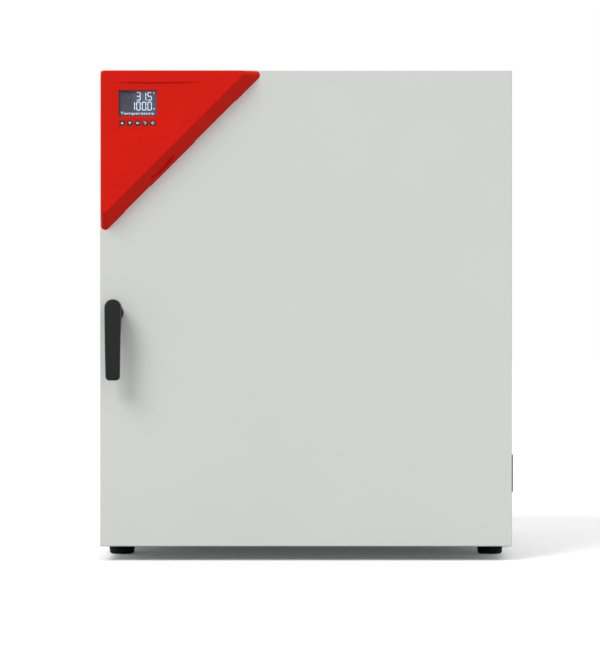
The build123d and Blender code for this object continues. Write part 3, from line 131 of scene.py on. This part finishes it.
finishes = {
    "casing_paint": surface("powder_coat", (0.68, 0.70, 0.67), 0.46, cloud=4.0, tint=0.012,
                            spread=0.05, fine=1100.0, bump=0.10, depth_mm=0.06),
    "stainless": surface("brushed_stainless", (0.62, 0.62, 0.61), 0.34, metallic=1.0, cloud=6.0,
                         tint=0.07, spread=0.07, grain=(1, 1, 34), fine=60.0, bump=0.16,
                         depth_mm=0.05),
    "zinc_steel": spangled(surface("zinc_coated_steel", (0.60, 0.61, 0.62), 0.40, metallic=1.0,
                                   cloud=14.0, tint=0.06, fine=500.0), 90.0),
    "heater_steel": surface("heated_steel", (0.20, 0.15, 0.12), 0.48, metallic=1.0, cloud=30.0,
                            tint=0.30, spread=0.10, fine=800.0),
    "motor_aluminium": surface("cast_aluminium", (0.56, 0.57, 0.58), 0.50, metallic=1.0,
                               cloud=20.0, fine=420.0, bump=0.35, depth_mm=0.25),
    "mineral_wool": surface("mineral_wool", (0.50, 0.42, 0.18), 0.95, cloud=60.0, tint=0.35,
                            spread=0.03, grain=(1, 1, 4), fine=260.0, bump=0.9, depth_mm=1.5),
    "silicone": surface("silicone_rubber", (0.075, 0.08, 0.085), 0.58, cloud=30.0, tint=0.10,
                        fine=700.0, bump=0.12),
    "black_rubber": surface("black_rubber", (0.004, 0.004, 0.004), 0.76, cloud=40.0, tint=0.25,
                            fine=600.0, bump=0.25, depth_mm=0.15, gloss=0.15),
    "black_plastic": surface("black_moulding", (0.010, 0.010, 0.011), 0.46, cloud=25.0, tint=0.12,
                             fine=1500.0, bump=0.22, depth_mm=0.08, gloss=0.2),
    "key_plastic": surface("key_moulding", (0.022, 0.014, 0.013), 0.28, cloud=60.0, tint=0.15,
                           fine=1500.0, bump=0.05),
    "red_plastic": surface("red_moulding", (0.70, 0.009, 0.002), 0.36, cloud=7.0, tint=0.03,
                           spread=0.04, fine=1600.0, bump=0.06, depth_mm=0.06, gloss=0.11),
    "white_plastic": surface("white_moulding", (0.72, 0.72, 0.68), 0.50, fine=1200.0),
    "clear_plastic": surface("clear_pane", (0.30, 0.33, 0.38), 0.07, cloud=30.0, tint=0.02,
                             spread=0.02, fine=300.0, bump=0.01, depth_mm=0.02, gloss=0.3,
                             alpha=0.05),
    "display_glass": surface("display_ground", (0.105, 0.098, 0.150), 0.30, cloud=26.0, tint=0.45,
                             spread=0.04, grain=(1, 1, 0.4), fine=1800.0, bump=0.02, gloss=0.2),
    "board_green": surface("circuit_board", (0.03, 0.16, 0.07), 0.42, cloud=80.0, tint=0.35,
                           fine=700.0, bump=0.3),
}
segment_paint = glowing(surface("lit_segment", (0.62, 0.86, 0.95), 0.35, cloud=120.0, tint=0.04,
                                fine=900.0, bump=0.02), (0.62, 0.86, 0.95), 0.45)
bezel_paint = surface("display_border", (0.030, 0.034, 0.060), 0.32, cloud=90.0, tint=0.2,
                      fine=900.0)
icon_paint = surface("printed_icon", (0.86, 0.86, 0.84), 0.45, cloud=200.0, tint=0.05,
                     fine=1500.0)
wire_steel = surface("drawn_wire", (0.66, 0.66, 0.65), 0.24, metallic=1.0, cloud=20.0, tint=0.08,
                     grain=(1, 0.1, 1), fine=400.0, bump=0.12, depth_mm=0.04)
screw_steel = surface("zinc_screw", (0.55, 0.56, 0.57), 0.32, metallic=1.0, cloud=200.0, tint=0.12,
                      fine=900.0, bump=0.15, depth_mm=0.05)

slot_of = {row["node"]: row["material_slot"] for row in frame["record"]["subparts"]}
own_finish = {"upper_rack": wire_steel, "lower_rack": wire_steel}
for node, solid in frame["nodes"].items():
    solid.data.materials.clear()
    solid.data.materials.append(own_finish.get(node, finishes[slot_of[node]]))

# Modelling helpers


def seat(origin, out, up=(0, 0, 1)):
    """Axes standing on a surface: z points out of it, y is up and x completes them."""
    z = Vector(out).normalized()
    y = Vector(up).normalized()
    axes = Matrix((y.cross(z), y, z)).transposed().to_4x4()
    axes.translation = Vector(origin)
    return axes


def front_seat(x, y, z):
    """A seat on a face that looks to the front."""
    return seat((x, y, z), (0, -1, 0))


def turned(shape, place, profile, steps=32):
    """Adds a turned form: (radius, height) pairs in mm, with "hex" as a third for a socket."""
    rings = []
    for point in profile:
        radius, height = point[0] * MM, point[1] * MM
        if radius == 0:
            rings.append([shape.verts.new(place @ Vector((0, 0, height)))] * steps)
            continue
        ring = []
        for step in range(steps):
            angle = 2 * pi * step / steps
            reach = radius
            if len(point) > 2:
                reach = radius / cos((angle + pi / 6) % (pi / 3) - pi / 6)
            point_at = Vector((reach * cos(angle), reach * sin(angle), height))
            ring.append(shape.verts.new(place @ point_at))
        rings.append(ring)
    for low, high in zip(rings, rings[1:]):
        for step in range(steps):
            corners = [low[step], low[(step + 1) % steps], high[(step + 1) % steps], high[step]]
            kept = list(dict.fromkeys(corners))
            if len(kept) > 2:
                shape.faces.new(kept)


def plate(shape, place, outline, low_mm, high_mm):
    """Adds a flat plate: its outline in mm, and the two levels between which it lies."""
    layers = [[shape.verts.new(place @ Vector((x * MM, y * MM, level * MM))) for x, y in outline]
              for level in (low_mm, high_mm)]
    shape.faces.new(reversed(layers[0]))
    shape.faces.new(layers[1])
    for step in range(len(outline)):
        following = (step + 1) % len(outline)
        shape.faces.new(
            (layers[0][step], layers[0][following], layers[1][following], layers[1][step])
        )


def arc(radius, start, end, steps=24):
    """Points along an arc about the origin, from one angle in degrees to another."""
    turn = (end - start) / steps
    return [(radius * cos(radians(start + turn * n)), radius * sin(radians(start + turn * n)))
            for n in range(steps + 1)]


def box_outline(width, height, x=0.0, y=0.0):
    """The four corners of a rectangle about a point."""
    half, rise = width / 2, height / 2
    return [(x - half, y - rise), (x + half, y - rise), (x + half, y + rise), (x - half, y + rise)]


def finish_piece(name, shape, body, paint, bevel_mm=0.0, smooth_angle=35.0):
    """Turns a bmesh into a piece of the object that rides on a body."""
    bmesh.ops.recalc_face_normals(shape, faces=shape.faces)
    mesh = bpy.data.meshes.new(name)
    shape.to_mesh(mesh)
    shape.free()
    piece = bpy.data.objects.new(name, mesh)
    scene.collection.objects.link(piece)
    mesh.materials.append(paint)
    mesh.shade_smooth()
    mesh.set_sharp_from_angle(angle=radians(smooth_angle))
    if bevel_mm:
        bevel = piece.modifiers.new("edge", "BEVEL")
        bevel.width = bevel_mm * MM
        bevel.segments = 2
        bevel.limit_method = "ANGLE"
        bevel.harden_normals = True
    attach(piece, body)
    return piece


# Display: border, seven-segment figures and a line of text under the pane

window_low, window_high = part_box("display_window")
module_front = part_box("display_module")[0].y
window_lap_mm = 2.5
window_left = window_low.x + window_lap_mm * MM
window_top = window_high.z - window_lap_mm * MM
window_width_mm = (window_high.x - window_low.x) / MM - 2 * window_lap_mm
window_height_mm = (window_high.z - window_low.z) / MM - 2 * window_lap_mm
ground = front_seat(window_left, module_front, window_top)

border_mm = 1.6
border_film_mm = (0.05, 0.25)
segment_film_mm = (0.05, 0.2)
print_film_mm = (-0.05, 0.08)
border = bmesh.new()
middle_mm = (window_width_mm / 2, -window_height_mm / 2)
outer = box_outline(window_width_mm, window_height_mm, *middle_mm)
inner = box_outline(window_width_mm - 2 * border_mm, window_height_mm - 2 * border_mm, *middle_mm)
for step in range(4):
    following = (step + 1) % 4
    strip = [outer[step], outer[following], inner[following], inner[step]]
    plate(border, ground, strip, *border_film_mm)
finish_piece("display_border", border, "door", bezel_paint)

segment_mm = 1.5
segment_gap_mm = 0.3
digit_width_mm = 8.4
digit_pitch_mm = 11.0
segments_lit = {
    "0": "abcdef", "1": "bc", "3": "abcdg", "5": "acdfg",
}


def segment_bar(across, along, length, upright):
    """The six-sided outline of one segment, centred at a point."""
    half, tip = length / 2, segment_mm / 2
    bar = [(-half, 0), (-half + tip, tip), (half - tip, tip), (half, 0), (half - tip, -tip),
           (-half + tip, -tip)]
    if upright:
        bar = [(y, x) for x, y in bar]
    return [(x + across, y + along) for x, y in bar]


def figure(shape, place, digit, right_mm, top_mm, height_mm):
    """Adds the lit segments of one figure, from its right edge and its top."""
    middle_x = right_mm - digit_width_mm / 2
    half_w = (digit_width_mm - segment_mm) / 2
    half_h = (height_mm - segment_mm) / 2
    middle_y = top_mm - height_mm / 2
    flat, tall = 2 * half_w - segment_gap_mm, half_h - segment_gap_mm
    bars = {
        "a": (0, half_h, flat, False), "g": (0, 0, flat, False), "d": (0, -half_h, flat, False),
        "b": (half_w, half_h / 2, tall, True), "c": (half_w, -half_h / 2, tall, True),
        "f": (-half_w, half_h / 2, tall, True), "e": (-half_w, -half_h / 2, tall, True),
    }
    for key in segments_lit[digit]:
        dx, dy, length, upright = bars[key]
        bar = segment_bar(middle_x + dx, middle_y + dy, length, upright)
        plate(shape, place, bar, *segment_film_mm)


figures = bmesh.new()
last_right_mm = 65.0
point_gap_mm = 1.3
for row_top_mm, row_height_mm, text in ((-3.4, 16.6, "31.5"), (-22.4, 17.0, "100.0")):
    right_mm = last_right_mm
    for mark in reversed(text):
        if mark == ".":
            dot = box_outline(segment_mm, segment_mm, right_mm + point_gap_mm,
                              row_top_mm - row_height_mm + segment_mm / 2)
            plate(figures, ground, dot, *segment_film_mm)
        else:
            figure(figures, ground, mark, right_mm, row_top_mm, row_height_mm)
            right_mm -= digit_pitch_mm

# The degree sign, in two halves, and the per cent sign: a stroke and two dots
degree_place, degree_outer_mm, degree_inner_mm = (69.0, -5.0), 1.5, 0.8
percent_stroke = [(67.8, -38.0), (68.6, -38.0), (71.2, -34.6), (70.4, -34.6)]
percent_dots, percent_dot_mm = ((68.2, -35.2), (70.8, -37.4)), 0.6
for start, end in ((0, 180), (180, 360)):
    half_ring = arc(degree_outer_mm, start, end, 12) + arc(degree_inner_mm, end, start, 12)
    plate(figures, ground, [(x + degree_place[0], y + degree_place[1]) for x, y in half_ring],
          *segment_film_mm)
plate(figures, ground, percent_stroke, *segment_film_mm)
for dot_x, dot_y in percent_dots:
    plate(figures, ground, [(x + dot_x, y + dot_y) for x, y in arc(percent_dot_mm, 0, 330, 11)],
          *segment_film_mm)
finish_piece("display_figures", figures, "door", segment_paint)

text_film_mm = 0.05


def lettering(name, words, place, size_mm, body, paint, width_mm):
    """A line of plain words as a thin mesh, made to a given width."""
    curve = bpy.data.curves.new(name, "FONT")
    curve.body = words
    curve.size = size_mm * MM
    curve.extrude = text_film_mm * MM
    line = bpy.data.objects.new(name, curve)
    scene.collection.objects.link(line)
    bpy.context.view_layer.update()
    mesh = bpy.data.meshes.new_from_object(line)
    bpy.data.objects.remove(line)
    span = max(v.co.x for v in mesh.vertices) - min(v.co.x for v in mesh.vertices)
    mesh.transform(place @ Matrix.Scale(width_mm * MM / span, 4, (1, 0, 0)))
    piece = bpy.data.objects.new(name, mesh)
    scene.collection.objects.link(piece)
    mesh.materials.append(paint)
    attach(piece, body)
    return piece


text_inset_mm = 3.2
text_drop_mm = 47.4
text_proud_mm = 0.12
text_size_mm = 7.2
text_width_mm = 66.0
text_seat = front_seat(window_left + text_inset_mm * MM, module_front - text_proud_mm * MM,
                       window_top - text_drop_mm * MM)
lettering("display_text", "Temperature", text_seat, text_size_mm, "door",
          segment_paint, text_width_mm)

# Marks on the five keys

icons = {
    "button_1": [[(-2.6, -2.0), (2.6, -2.0), (0, 2.4)]],
    "button_2": [[(-2.6, 2.0), (0, -2.4), (2.6, 2.0)]],
    "button_3": [[(-2.8, 0), (0.4, 2.2), (0.4, 1.0), (2.8, 1.0), (2.8, -1.0), (0.4, -1.0),
                  (0.4, -2.2)]],
    "button_4": [arc(2.4, -120, 120) + arc(1.4, 120, -120),
                 [(-3.2, 2.0), (-0.7, 3.4), (-0.8, 0.7)]],
    "button_5": [arc(2.6, -50, 230) + arc(1.6, 230, -50), box_outline(1.0, 2.6, 0, -1.9)],
}
for key, outlines in icons.items():
    low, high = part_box(key)
    face = front_seat((low.x + high.x) / 2, low.y, (low.z + high.z) / 2)
    mark = bmesh.new()
    for outline in outlines:
        plate(mark, face, outline, *print_film_mm)
    finish_piece(key + "_mark", mark, key, icon_paint)

# Rocker switch: the line and the ring on its two ends

rocker_low, rocker_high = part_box("power_switch")
rocker_axis_x, rocker_axis_z = 0.408, 0.1675
rocker_tilt = 9.0
rocker_half_mm = 15.0
rocker_face_mm = 6.3
rocker_dip_mm = 1.8
rocker_pivot = Vector((rocker_axis_x, (rocker_low.y + rocker_high.y) / 2, rocker_axis_z))
leaning = Matrix.Translation(rocker_pivot) @ Matrix.Rotation(radians(rocker_tilt), 4, "Y")
slope = rocker_dip_mm / rocker_half_mm
line_mark = [box_outline(1.0, 5.4)]
ring_mark = [arc(2.4, 0, 180) + arc(1.6, 180, 0), arc(2.4, 180, 360) + arc(1.6, 360, 180)]
level = (rocker_face_mm - rocker_dip_mm / 2) * MM
rocker_marks = bmesh.new()
for sign, outlines in ((1, line_mark), (-1, ring_mark)):
    face = leaning @ seat((level, 0, sign * rocker_half_mm / 2 * MM), (1, 0, -sign * slope),
                          (sign * slope, 0, 1))
    for outline in outlines:
        plate(rocker_marks, face, outline, *print_film_mm)
finish_piece("power_switch_marks", rocker_marks, "power_switch", icon_paint)

# Screws

head_mm = 4.2
pan_head = [(0, 1.1), (1.5, 1.1, "hex"), (1.5, 2.45, "hex"), (2.1, 2.6), (3.2, 2.2), (3.9, 1.4),
            (head_mm, 0.4), (head_mm, 0.0), (0, 0.0)]
flat_head = [(0, -0.9), (1.4, -0.9, "hex"), (1.4, 0.25, "hex"), (2.0, 0.35), (3.3, 0.3),
             (3.6, 0.05), (3.6, -0.2), (0, -1.1)]
panel_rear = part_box("rear_panel")[1].y
screws_low, screws_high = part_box("rear_panel_screws")
rear_screws = bmesh.new()
head_radius = head_mm * MM
screws_a_side = 4
shank = [(2.0, 0.0), (2.0, -6.6), (1.2, -7.0), (0, -7.0)]
for x in (screws_low.x + head_radius, screws_high.x - head_radius):
    for step in range(screws_a_side):
        rise = (screws_high.z - screws_low.z - 2 * head_radius) * step / (screws_a_side - 1)
        z = screws_low.z + head_radius + rise
        turned(rear_screws, seat((x, panel_rear, z), (0, 1, 0)), pan_head, 24)
        turned(rear_screws, seat((x, panel_rear, z), (0, 1, 0)), shank, 16)
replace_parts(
    finish_piece("rear_panel_screw_set", rear_screws, "housing", screw_steel),
    "rear_panel_screws",
)

hinge_screws = bmesh.new()
plate_low, plate_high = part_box("lower_hinge_bracket")
plate_mid = (plate_low.x + plate_high.x) / 2
for along in (0.55, 0.85):
    y = plate_low.y + (plate_high.y - plate_low.y) * along
    turned(hinge_screws, seat((plate_mid, y, plate_low.z), (0, 0, -1), (0, 1, 0)), flat_head, 24)
finish_piece("hinge_screws", hinge_screws, "housing", screw_steel)

duct_low, duct_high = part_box("exhaust_duct")
duct_x = (duct_low.x + duct_high.x) / 2
duct_z = (duct_low.z + duct_high.z) / 2
duct_sheet_mm = 1.5
duct_screw_circle = 0.0325
duct_screw_scale = 0.62
small_head = [(r * duct_screw_scale, h * duct_screw_scale, *rest) for r, h, *rest in pan_head]
duct_screws = bmesh.new()
for quarter in range(4):
    angle = radians(45 + 90 * quarter)
    place = (duct_x + duct_screw_circle * cos(angle), panel_rear + duct_sheet_mm * MM,
             duct_z + duct_screw_circle * sin(angle))
    turned(duct_screws, seat(place, (0, 1, 0)), small_head, 24)
finish_piece("duct_flange_screws", duct_screws, "housing", screw_steel)

# Gland: fluted clamping nut

gland_low, gland_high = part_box("cable_gland")
gland_x = (gland_low.x + gland_high.x) / 2
gland_z = (gland_low.z + gland_high.z) / 2
flute_count = 18
flute_circle = 0.0112
flute_start_mm = 9.8
flute_profile = [(0, 0), (0.8, 0.0), (0.9, 4.0), (0.5, 8.0), (0, 8.4)]
flutes = bmesh.new()
for step in range(flute_count):
    angle = 2 * pi * step / flute_count
    place = (gland_x + flute_circle * cos(angle), panel_rear + flute_start_mm * MM,
             gland_z + flute_circle * sin(angle))
    turned(flutes, seat(place, (0, 1, 0)), flute_profile, 10)
finish_piece("gland_flutes", flutes, "housing", finishes["black_plastic"])

# Door seal: the soft lip that folds over the ring's inner edge

gasket_low, gasket_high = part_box("door_gasket")


def rounded_loop(low, high, inset_mm, radius_mm, y, steps=8):
    """Points round a rectangle with rounded corners, on a plane of one y."""
    inset, radius = inset_mm * MM, radius_mm * MM
    points = []
    corners = ((high.x, high.z), (low.x, high.z), (low.x, low.z), (high.x, low.z))
    for side, (cx, cz) in enumerate(corners):
        sx, sz = (-1 if cx == high.x else 1), (-1 if cz == high.z else 1)
        centre = Vector((cx + sx * (inset + radius), 0, cz + sz * (inset + radius)))
        for step in range(steps + 1):
            angle = radians(90 * side + 90 * step / steps)
            points.append(centre + Vector((radius * cos(angle), y, radius * sin(angle))))
    return points


def swept(shape, loop, section):
    """Sweeps a small closed section, (across, out) in mm, round a flat loop of points."""
    count = len(loop)
    rings = []
    for step in range(count):
        ahead = (loop[(step + 1) % count] - loop[step - 1]).normalized()
        outward = Vector((ahead.z, 0, -ahead.x))
        rings.append([
            shape.verts.new(loop[step] + outward * across * MM + Vector((0, -out * MM, 0)))
            for across, out in section
        ])
    for step in range(count):
        ring, following = rings[step], rings[(step + 1) % count]
        for point in range(len(section)):
            beside = (point + 1) % len(section)
            shape.faces.new((ring[point], ring[beside], following[beside], following[point]))


# A bead at the ring's inner edge, near the frame, and a finer one along its front
bead_inset_mm, bead_corner_mm, bead_mm, bead_from_frame_mm = 9.4, 8.5, 1.3, 1.2
ridge_inset_mm, ridge_corner_mm, ridge_mm = 5.0, 15.0, 0.9
sunk_mm = 0.6
lip = bmesh.new()
swept(lip, rounded_loop(gasket_low, gasket_high, bead_inset_mm, bead_corner_mm,
                        gasket_high.y - bead_from_frame_mm * MM),
      [(x - sunk_mm, y) for x, y in arc(bead_mm, 0, 330, 11)])
swept(lip, rounded_loop(gasket_low, gasket_high, ridge_inset_mm, ridge_corner_mm, gasket_low.y),
      [(x, y - sunk_mm) for x, y in arc(ridge_mm, 0, 330, 11)])
finish_piece("gasket_lip", lip, "housing", finishes["silicone"], smooth_angle=60)

# Feet: a ring round each pad with short grip teeth

grip_ring = [(24.6, 8.6), (25.5, 9.2), (25.6, 10.2), (25.5, 11.2), (24.6, 11.8)]
tooth_count = 24
tooth_circle = 0.0248
tooth_start = 0.0115
tooth_profile = [(0, 0), (0.8, 0.1), (0.8, 3.4), (0, 4.0)]
for foot_name in ("front_left_foot", "front_right_foot", "rear_left_foot", "rear_right_foot"):
    low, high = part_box(foot_name)
    middle = ((low.x + high.x) / 2, (low.y + high.y) / 2, 0)
    ring = bmesh.new()
    turned(ring, seat(middle, (0, 0, 1), (0, 1, 0)), grip_ring, 48)
    for tooth in range(tooth_count):
        angle = 2 * pi * tooth / tooth_count
        spot = (middle[0] + tooth_circle * cos(angle), middle[1] + tooth_circle * sin(angle),
                tooth_start)
        turned(ring, seat(spot, (0, 0, 1), (0, 1, 0)), tooth_profile, 8)
    finish_piece(foot_name + "_grip", ring, "housing", finishes["black_rubber"])

# Controller board: parts soldered to it

board_low, board_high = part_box("controller_board")
connector_deep_mm = 8.0
pins_a_chip, pin_mm, pin_past_chip_mm, pin_tall_mm = 6, 0.5, 1.2, 0.4
chips = bmesh.new()
board_middle = (board_low + board_high) / 2
chip_seat = seat((board_middle.x, board_high.y - connector_deep_mm * MM, board_middle.z), (0, 1, 0))
for x, y, w, h, tall in ((-22, 18, 14, 14, 2.0), (10, 22, 9, 12, 1.6), (26, -8, 6, 16, 3.0),
                         (-6, -20, 20, 8, 2.4), (-30, -24, 7, 7, 5.0), (18, -30, 12, 6, 4.0)):
    plate(chips, chip_seat, box_outline(w, h, x, y), 0.0, tall)
    for pin in range(pins_a_chip):
        across = x - w / 2 + w * (pin + 0.5) / pins_a_chip
        legs = box_outline(pin_mm, h + 2 * pin_past_chip_mm, across, y)
        plate(chips, chip_seat, legs, 0.0, pin_tall_mm)
finish_piece("board_parts", chips, "door", finishes["black_plastic"], bevel_mm=0.2)

# Camera

camera_distance = 5.0
camera_height = 0.455
lens_per_metre = 28.35
door_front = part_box("door_outer_panel")[0].y
camera = bpy.data.objects.new("camera", bpy.data.cameras.new("camera"))
camera.location = (0, door_front - camera_distance, camera_height)
camera.rotation_euler = (pi / 2, 0, 0)
camera.data.lens = lens_per_metre * camera_distance
camera.data.shift_x = -0.0092
camera.data.shift_y = 0.0101
scene.collection.objects.link(camera)
scene.camera = camera

# Floor and light

floor_half = 30.0
floor_mesh = bpy.data.meshes.new("floor")
corners = [(-floor_half, -floor_half, 0), (floor_half, -floor_half, 0),
           (floor_half, floor_half, 0), (-floor_half, floor_half, 0)]
floor_mesh.from_pydata(corners, [], [(0, 1, 2, 3)])
floor = bpy.data.objects.new("floor", floor_mesh)
scene.collection.objects.link(floor)

floor_paint = bpy.data.materials.new("studio_floor")
floor_paint.use_nodes = True
nodes, links = floor_paint.node_tree.nodes, floor_paint.node_tree.links
nodes.clear()


def choose_by_ray(nodes, links, unseen, seen):
    """Mixes two shaders: the second where the camera, a reflection or glass sees the thing."""
    path = nodes.new("ShaderNodeLightPath")
    mirrored = nodes.new("ShaderNodeMath")
    mirrored.operation = "MAXIMUM"
    links.new(path.outputs["Is Camera Ray"], mirrored.inputs[0])
    links.new(path.outputs["Is Glossy Ray"], mirrored.inputs[1])
    through = nodes.new("ShaderNodeMath")
    through.operation = "MAXIMUM"
    links.new(mirrored.outputs["Value"], through.inputs[0])
    links.new(path.outputs["Is Transmission Ray"], through.inputs[1])
    mix = nodes.new("ShaderNodeMixShader")
    links.new(through.outputs["Value"], mix.inputs["Fac"])
    links.new(unseen, mix.inputs[1])
    links.new(seen, mix.inputs[2])
    return mix.outputs["Shader"]


# The seen floor is white with a little light of its own, which lifts the shadows on it. The
# unseen one throws less light up at the object.
pale = nodes.new("ShaderNodeBsdfDiffuse")
pale.inputs["Color"].default_value = (0.95, 0.95, 0.95, 1)
lift = nodes.new("ShaderNodeEmission")
lift.inputs["Strength"].default_value = 0.04
lifted = nodes.new("ShaderNodeAddShader")
links.new(pale.outputs["BSDF"], lifted.inputs[0])
links.new(lift.outputs["Emission"], lifted.inputs[1])
dull = nodes.new("ShaderNodeBsdfDiffuse")
dull.inputs["Color"].default_value = (0.34, 0.34, 0.34, 1)
output = nodes.new("ShaderNodeOutputMaterial")
links.new(
    choose_by_ray(nodes, links, dull.outputs["BSDF"], lifted.outputs["Shader"]),
    output.inputs["Surface"],
)
floor_mesh.materials.append(floor_paint)

world = bpy.data.worlds.new("studio")
scene.world = world
world.use_nodes = True
nodes, links = world.node_tree.nodes, world.node_tree.links
ambient = nodes["Background"]
ambient.inputs["Color"].default_value = (1, 1, 1, 1)
ambient.inputs["Strength"].default_value = 0.66
backdrop = nodes.new("ShaderNodeBackground")
backdrop.inputs["Color"].default_value = (1, 1, 1, 1)
backdrop.inputs["Strength"].default_value = 1.0
links.new(
    choose_by_ray(nodes, links, ambient.outputs["Background"], backdrop.outputs["Background"]),
    nodes["World Output"].inputs["Surface"],
)


def lamp(name, azimuth, height, strength, softness):
    """A distant lamp: where it stands round the object, its height and how soft it is."""
    sun = bpy.data.lights.new(name, "SUN")
    sun.energy = strength
    sun.angle = radians(softness)
    holder = bpy.data.objects.new(name, sun)
    away = Vector((sin(radians(azimuth)) * cos(radians(height)),
                   -cos(radians(azimuth)) * cos(radians(height)), sin(radians(height))))
    holder.rotation_euler = away.to_track_quat("Z", "Y").to_euler()
    scene.collection.objects.link(holder)


lamp("key_lamp", -42, 46, 1.9, 30)
lamp("fill_lamp", 60, 45, 0.35, 60)
lamp("rear_lamp", 165, 40, 0.9, 50)
